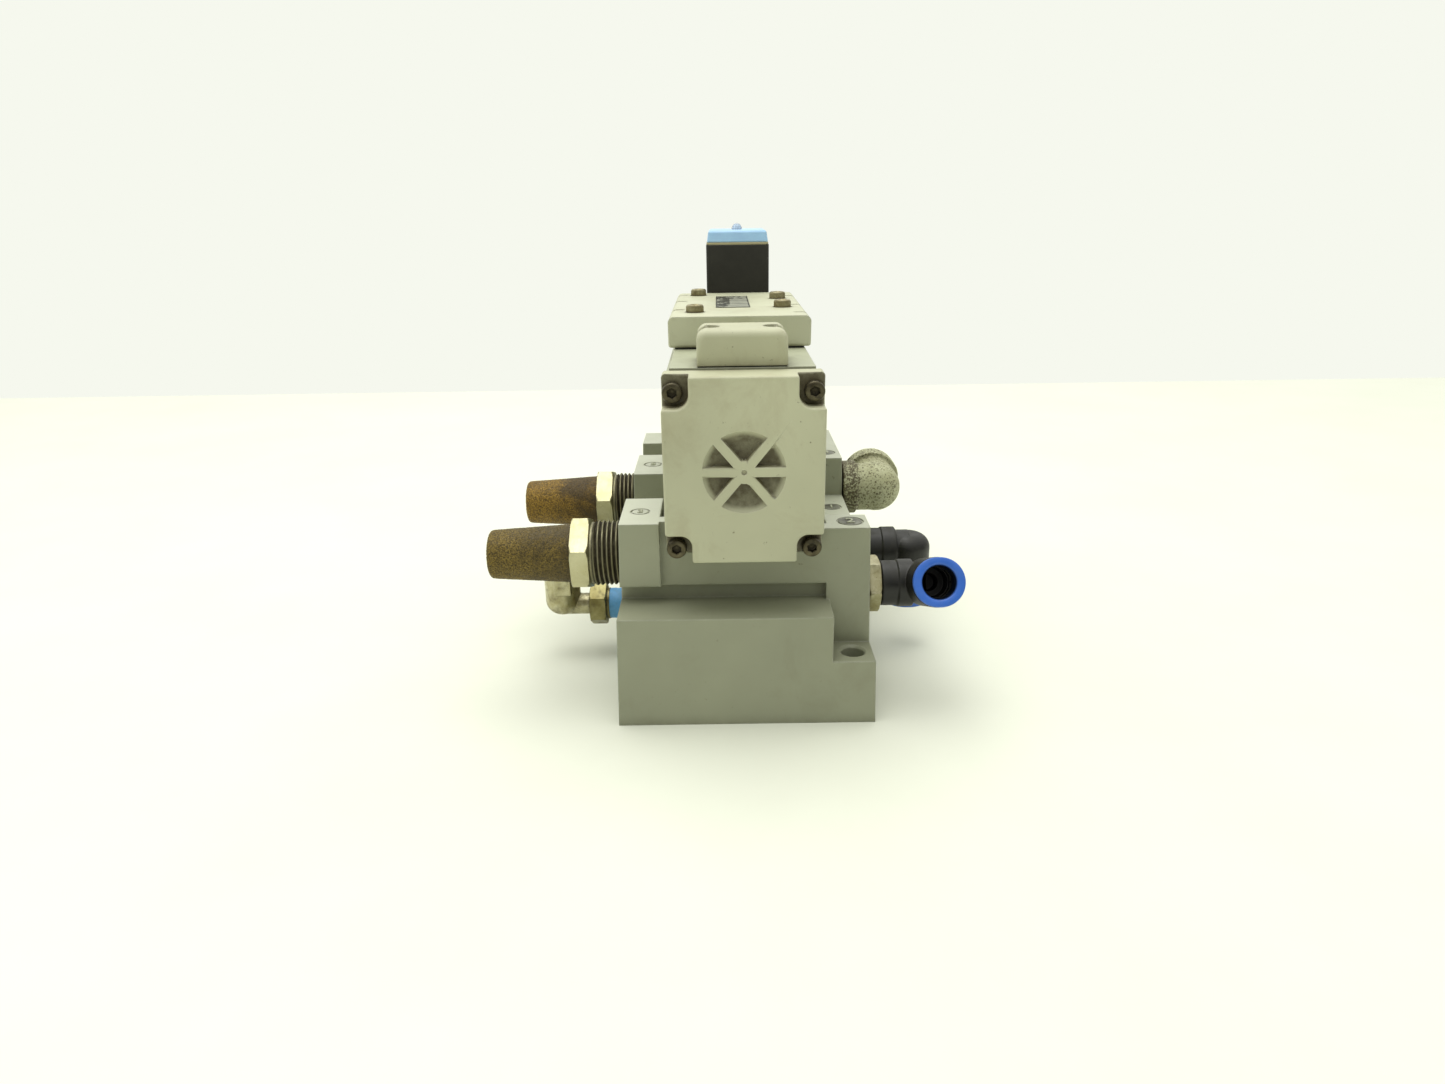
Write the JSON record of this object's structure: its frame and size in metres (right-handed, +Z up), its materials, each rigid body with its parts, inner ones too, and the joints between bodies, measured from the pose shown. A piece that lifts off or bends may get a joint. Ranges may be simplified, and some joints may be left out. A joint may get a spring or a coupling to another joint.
{
  "type": "pneumatic solenoid valve with exhaust mufflers",
  "caption": "Single-solenoid spool valve on a ported sub-base, with cone-shaped bronze exhaust mufflers and push-in tube elbows.",
  "frame": {"origin": "centre of the sub-base's footprint, on its bottom face", "axes": "+Z up; +Y from the plain end cover to the coil end; +X from the mufflers to the tube elbows"},
  "size_m": [0.1849, 0.2062, 0.1816],
  "materials": {
    "base_casting": "as-cast, dull dark grey, sooty",
    "body_casting": "matt grey-green enamel on a casting",
    "cover_casting": "matt cream-grey enamel, grimy in the corners",
    "top_casting": "matt light cream-grey enamel",
    "gasket_rubber": "matt black",
    "screw_steel": "dark, oiled",
    "screw_zinc": "dull yellowed zinc",
    "label_foil": "dull printed foil, left blank",
    "coil_plastic": "moulded black",
    "terminal_tin": "tinned",
    "seal_cream": "soft cream",
    "cap_blue": "satin blue",
    "lens_clear": "clear",
    "tube_steel": "turned",
    "core_steel": "turned",
    "spring_steel": "wire",
    "spool_aluminium": "turned, anodised",
    "cage_plastic": "moulded",
    "bush_bronze": "turned",
    "muffler_brass": "plated brass, stained",
    "bronze_dark": "sintered bronze grains, darkened",
    "bronze_orange": "sintered bronze grains",
    "nickel": "nickel plate, dull and stained",
    "nickel_stained": "nickel plate, brown stained",
    "sealant_blue": "dried thread sealant",
    "seal_black": "matt black",
    "grip_steel": "spring steel",
    "elbow_plastic": "satin black",
    "ring_blue": "satin blue",
    "iron": "malleable iron, whitish and dirty",
    "iron_thread": "threaded, dirty"
  },
  "bodies": {
    "valve": {"sub_base": "base_casting", "base_gasket": "gasket_rubber", "hold_down_screws": "screw_steel", "valve_body": "body_casting", "seal_cages": "cage_plastic", "spool_seals": "seal_black", "stem_bush": "bush_bronze", "return_spring": "spring_steel", "front_end_cover": "cover_casting", "front_cover_gasket": "gasket_rubber", "front_cover_screws": "screw_steel", "pilot_end_cover": "cover_casting", "pilot_cover_gasket": "gasket_rubber", "pilot_cover_screws": "screw_steel", "override_spring": "spring_steel", "blanking_cap": "cover_casting", "blanking_cap_gasket": "gasket_rubber", "blanking_cap_screws": "screw_steel", "top_cover": "top_casting", "top_cover_gasket": "gasket_rubber", "top_cover_screws": "screw_zinc", "label_plate": "label_foil", "armature_tube": "tube_steel", "plunger_spring": "spring_steel", "coil": "coil_plastic", "coil_terminals": "terminal_tin", "cap_gasket": "seal_cream", "coil_nut": "tube_steel", "coil_cap": "cap_blue", "indicator_lens": "lens_clear", "front_muffler_body": "muffler_brass", "front_muffler_cone": "bronze_dark", "rear_muffler_body": "muffler_brass", "rear_muffler_cone": "bronze_orange", "nickel_stud": "nickel_stained", "thread_sealant": "sealant_blue", "iron_nipple": "iron_thread", "iron_elbow": "iron", "front_stud": "nickel_stained", "rear_stud": "nickel_stained"},
    "spool": {"spool": "spool_aluminium", "pilot_piston": "spool_aluminium", "piston_seal": "seal_black"},
    "plunger": {"plunger": "core_steel", "plunger_seal": "seal_black"},
    "override": {"override_button": "bush_bronze", "override_seal": "seal_black"},
    "front_elbow": {"front_elbow": "elbow_plastic", "front_tube_seal": "seal_black", "front_grip_ring": "grip_steel"},
    "front_release": {"front_release": "ring_blue"},
    "rear_elbow": {"rear_elbow": "elbow_plastic", "rear_tube_seal": "seal_black", "rear_grip_ring": "grip_steel"},
    "rear_release": {"rear_release": "ring_blue"},
    "nickel_elbow": {"nickel_elbow": "nickel", "nickel_tube_seal": "seal_black", "nickel_grip_ring": "grip_steel"},
    "nickel_release": {"nickel_release": "nickel"}
  },
  "joints": [
    {"name": "spool_travel", "type": "slide", "parent": "valve", "child": "spool", "axis": [0, -1, 0], "range_m": [0, 0.005], "stiffness_N_per_m": 900, "springref_m": -0.008, "deforming": ["return_spring"]},
    {"name": "plunger_lift", "type": "slide", "parent": "valve", "child": "plunger", "axis": [0, 0, 1], "range_m": [0, 0.0012], "stiffness_N_per_m": 400, "springref_m": -0.003, "deforming": ["plunger_spring"]},
    {"name": "override_push", "type": "slide", "parent": "valve", "child": "override", "axis": [0, -1, 0], "range_m": [0, 0.0015], "stiffness_N_per_m": 500, "springref_m": -0.002, "deforming": ["override_spring"]},
    {"name": "front_swivel", "type": "hinge", "parent": "valve", "child": "front_elbow", "pos_m": [0.06, -0.0599, 0.0459], "axis": [1, 0, 0], "continuous": true},
    {"name": "front_release_push", "type": "slide", "parent": "front_elbow", "child": "front_release", "axis": [0, 0.9272, -0.3746], "range_m": [0, 0.0015], "stiffness_N_per_m": 250, "springref_m": -0.001},
    {"name": "rear_swivel", "type": "hinge", "parent": "valve", "child": "rear_elbow", "pos_m": [0.06, -0.0195, 0.0459], "axis": [1, 0, 0], "continuous": true},
    {"name": "rear_release_push", "type": "slide", "parent": "rear_elbow", "child": "rear_release", "axis": [0, 0, 1], "range_m": [0, 0.0015], "stiffness_N_per_m": 250, "springref_m": -0.001},
    {"name": "nickel_swivel", "type": "hinge", "parent": "valve", "child": "nickel_elbow", "pos_m": [-0.072, -0.025, 0.0237], "axis": [1, 0, 0], "continuous": true},
    {"name": "nickel_release_push", "type": "slide", "parent": "nickel_elbow", "child": "nickel_release", "axis": [0, 0, -1], "range_m": [0, 0.0015], "stiffness_N_per_m": 300, "springref_m": -0.001}
  ]
}
